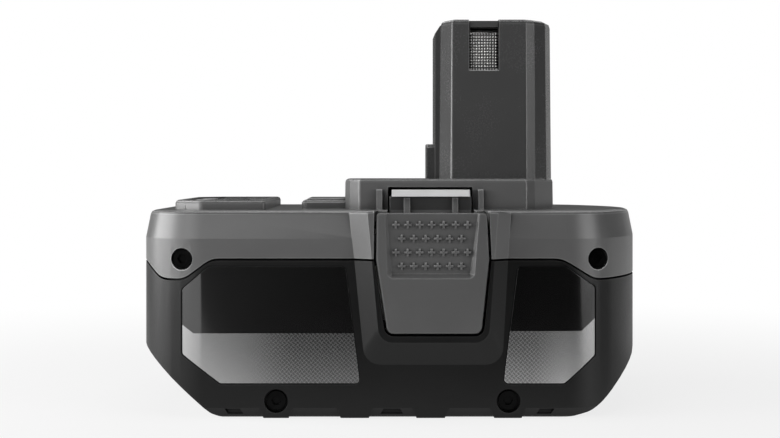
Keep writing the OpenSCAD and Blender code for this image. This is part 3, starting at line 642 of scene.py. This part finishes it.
start, place = begin("label_print")
x, _, z = axes(place)
line = PRINT_LINE + (FRONT_TURN - x).high(0) * 0.74 + (x - REAR_TURN).high(0) * 0.85
line = line + (x > 10) * 0.5
panel = 1 - (z - line).ramp(-0.06, 0.06)
fade = (x + 38).ramp(0, 15) * (1 - (x - 30).ramp(0, 9))
dashes = weave(x, z) * fade
# Painted light: the print grey is made paler towards the front end and darker near the rear
# turn, as light falls on the two ends.
print_tone_and_light = (x + 46).ramp(0, 40).tint(grey(0.42), grey(0.31))
print_tone_and_light = (x - 10).ramp(0, 10).tint(print_tone_and_light, grey(0.62))
print_tone_and_light = (x - 38).ramp(0, 6).tint(print_tone_and_light, grey(0.36))
print_tone_and_light = (dashes * 0.8).tint(print_tone_and_light, (x > 0).tint(grey(0.03), grey(0.14)))
speck = noise(place, 0.16, 2.0)
print_tone_and_light = (speck.ramp(0.45, 0.8) * 0.35).tint(print_tone_and_light, grey(0.52))
colour = panel.tint(grey(0.0045), print_tone_and_light)
peel = noise(place, 1.1, 2.0)
close(start, {
    "Base Color": colour,
    "Roughness": 0.16 + panel * 0.08 + noise(place, 5.0) * 0.04,
    "Metallic": panel * 0.82,
    "Specular IOR Level": 0.5,
    "Coat Weight": 1.0,
    "Coat Roughness": 0.06,
    "Coat IOR": 1.7,
    "Normal": relief(peel * 0.7 + dashes * panel * 0.5, 0.004),
})

# %% [markdown]
# ## Metals
# The hooks are bent from bright steel strip and keep fine lines along the
# rolling direction. The contacts are plated and knurled: their grooves are in
# the solid. The screws are blackened, which is why they are hardly seen in
# their recesses. Metal takes its colour from what it mirrors, so most of the
# detail goes into roughness.


# %% Rolled metal
def metal(name, level, rough, lines, line_depth=0.003, tint=(1, 1, 1), dark=0.82,
          mark=None):
    """Metal of this grey level, with drawn lines stretched along an axis."""
    start, place = begin(name)
    drawn = noise(place, 0.12, 2.0, lines)
    cloud = noise(place, 4.0, 3.0).ramp(0.3, 0.7)
    light = tuple(level * c for c in tint) + (1,)
    deep = tuple(level * dark * c for c in tint) + (1,)
    colour = (cloud * 0.6 + drawn * 0.4).tint(deep, light)
    gloss = rough + (drawn - 0.5) * 0.14 + cloud * 0.06
    if mark:
        colour, gloss = mark(place, colour, gloss)
    close(start, {
        "Base Color": colour,
        "Metallic": 1.0,
        "Roughness": gloss,
        "Normal": relief(drawn, line_depth),
    })


metal("hook_steel", 0.86, 0.45, (0.04, 1, 1), line_depth=0.0015, dark=0.93)
metal("spring_wire", 0.55, 0.3, (1, 0.2, 1))
metal("screw_black", 0.012, 0.36, (1, 1, 1), dark=0.6)

# %% [markdown]
# The knurl of the contacts is cut into the solid as two sets of grooves. On
# the real piece the grooves keep their dull oxide while the small squares
# between them are rubbed bright, so the plating is darkened by its depth
# under the outer face. The face lies at the same distance on both sides. The
# lip above the knurl is bent back and stays bright, so it is left out.

# %% Plated contacts
CONTACT_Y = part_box("contact_positive")[0].y / -MM
LIP_FOOT = 91.1


def groove_oxide(place, colour, gloss):
    _, across, up = axes(place)
    deep = (CONTACT_Y - across.only("ABSOLUTE")).ramp(0.03, 0.14)
    deep = deep * (1 - up.ramp(LIP_FOOT, LIP_FOOT + 0.1))
    return (deep * 0.9).tint(colour, grey(0.03)), gloss + deep * 0.25


metal("contact_plating", 0.95, 0.3, (1, 1, 0.3), line_depth=0.001,
      tint=(1, 0.99, 0.97), dark=0.93, mark=groove_oxide)

# %% [markdown]
# ## Inside the case
# Nothing of the cells shows when the case is shut, but the part may be opened
# or cut. The cells stand in two rows of five, with their ends towards the
# sides. Each has a shrink sleeve round a steel can, and the sleeve curls a
# little over the rim. The row pitch turns one pattern into ten: the place
# along the row, counted from the nearest cell's middle, is the same on all.

# %% Cell sleeve and can
ROW_X, ROW_Z, PITCH = -1.1, 12.0, 18.4
CELL_END = 32.5


def from_cell_middle(x, z):
    """Sideways and upward distance from the nearest cell's axis in mm."""
    across = (saw((x - ROW_X) / PITCH + 0.5) - 0.5) * PITCH
    upward = (saw((z - ROW_Z) / PITCH + 0.5) - 0.5) * PITCH
    return across, upward


start, place = begin("cell_sleeve")
x, y, z = axes(place)
across, upward = from_cell_middle(x, z)
radius = (across * across + upward * upward).only("SQRT")
end = y.only("ABSOLUTE")
can = (end - (CELL_END - 0.05)).ramp(0, 0.04) * (1 - (radius - 7.6).ramp(0, 0.2))
ring = (end - (CELL_END - 1.6)).ramp(0, 0.2) * (1 - can)
wrinkle = noise(place, 0.9, 3.0, (1, 0.12, 1))
sleeve = noise(place, 7.0, 2.0).tint((0.035, 0.2, 0.13, 1), (0.045, 0.24, 0.16, 1))
sleeve = ring.tint(sleeve, (0.028, 0.15, 0.1, 1))
brushed = noise(place, 0.3, 2.0).tint(grey(0.5), grey(0.66))
close(start, {
    "Base Color": can.tint(sleeve, brushed),
    "Metallic": can,
    "Roughness": 0.3 + wrinkle * 0.12 + can * 0.05,
    "Coat Weight": (1 - can) * 0.4,
    "Normal": relief(wrinkle * (1 - can), 0.02),
})

# %% [markdown]
# The weld strips are soft nickel. Each cell is joined by pairs of small
# dents that the welder's points leave, with a straw-coloured ring of heat
# around them.

# %% Weld strips
start, place = begin("nickel_strip")
x, _, z = axes(place)
across, upward = from_cell_middle(x, z)
aside, apart = across.only("ABSOLUTE") - 1.7, upward.only("ABSOLUTE") - 1.5
spot = (aside * aside + apart * apart).only("SQRT")
dent = 1 - spot.ramp(0.35, 0.6)
heat = (1 - spot.ramp(0.5, 1.3)) * (1 - dent)
rolled = noise(place, 0.15, 2.0, (0.05, 1, 1))
plain = noise(place, 3.0, 2.0).tint(grey(0.52), grey(0.62))
close(start, {
    "Base Color": (heat * 0.6).tint(plain, (0.42, 0.3, 0.16, 1)),
    "Metallic": 1.0,
    "Roughness": 0.3 + rolled * 0.12 + dent * 0.2,
    "Normal": relief(rolled * 0.1 - dent, 0.04),
})

# %% [markdown]
# The board is green lacquer over copper. Wide copper runs show as a lighter
# green, and the black parts on top are told apart by their height above the
# lacquer, with dull marks on their lids.

# %% Circuit board
BOARD_TOP = 41.6

start, place = begin("board_lacquer")
z = axes(place)[2]
runs = start.node(
    "ShaderNodeTexVoronoi",
    {"distance": "MANHATTAN", "feature": "F2"},
    {"Vector": place, "Scale": 1 / (6.5 * MM), "Randomness": 0.8},
)
copper = (saw(runs * 5) - 0.5).ramp(-0.06, 0.06)
part = (z - BOARD_TOP - 0.06).ramp(0, 0.03)
edge = 1 - (z - BOARD_TOP + 1.5).ramp(0, 1.4)
lacquer = copper.tint((0.006, 0.05, 0.02, 1), (0.012, 0.095, 0.035, 1))
lacquer = (edge * 0.6).tint(lacquer, (0.09, 0.1, 0.045, 1))
lid = noise(place, 0.25, 2.0).tint(grey(0.012), grey(0.025))
close(start, {
    "Base Color": part.tint(lacquer, lid),
    "Roughness": 0.28 + part * 0.25 + noise(place, 0.4) * 0.08,
    "Coat Weight": (1 - part) * 0.3,
    "Normal": relief(copper * (1 - part), 0.03),
})

# %% [markdown]
# The gauge: four white lamps under one milky light guide. The lamps are a
# white ceramic body with a yellowish filled lens on top. The guide is clear
# plastic with a fine matt surface so that the lamps show as even patches.

# %% Lamps and light guide
start, place = begin("lamp_body")
z = axes(place)[2]
lens = (z - BOARD_TOP - 1.1).ramp(0, 0.06)
grain = noise(place, 0.2, 2.0)
close(start, {
    "Base Color": lens.tint(grey(0.78), (0.72, 0.6, 0.22, 1)),
    "Roughness": 0.32 + grain * 0.2 - lens * 0.1,
    "Normal": relief(grain, 0.006),
})

start, place = begin("light_guide")
matt = noise(place, 0.18, 2.0)
close(start, {
    "Base Color": noise(place, 3.0).tint(grey(0.52), grey(0.66)),
    "Roughness": 0.26 + matt * 0.2,
    "Transmission Weight": 0.35,
    "IOR": 1.49,
    "Normal": relief(matt, 0.006),
})

# %% [markdown]
# ## Giving out the finishes
# Each solid of the frame has one material slot. The name of that slot says
# what the piece is made of, so a short table turns slots into finishes.

# %% Hand out the finishes
FINISH_OF = {
    "cover_grey": "cover_nylon", "case_black": "case_nylon",
    "block_dark": "block_nylon", "contact_metal": "contact_plating",
    "button_grey": "button_nylon", "bright_steel": "hook_steel",
    "spring_steel": "spring_wire", "holder_plastic": "holder_nylon",
    "board_green": "board_lacquer", "lamp_white": "lamp_body",
    "window_clear": "light_guide", "screw_steel": "screw_black",
    "label_film": "label_print", "cell_wrap": "cell_sleeve",
    "nickel": "nickel_strip",
}
FINISH_OF_PIECE = {
    "gauge_switch": "switch_body",
    "latch_pin_near": "screw_black", "latch_pin_far": "screw_black",
}
for name, piece in {**nodes, **springs}.items():
    slot = piece.material_slots[0]
    finish = FINISH_OF_PIECE.get(name, FINISH_OF[slot.material.name])
    slot.material = finishes[finish]
print("finishes given to", len(nodes) + len(springs), "pieces")

# %% [markdown]
# ## Size
# Softened edges must not change the size, so the size of the dressed pack is
# printed.

# %% Print the dressed size
low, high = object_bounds()
print("dressed size in mm:", [round(v / MM, 2) for v in high - low])
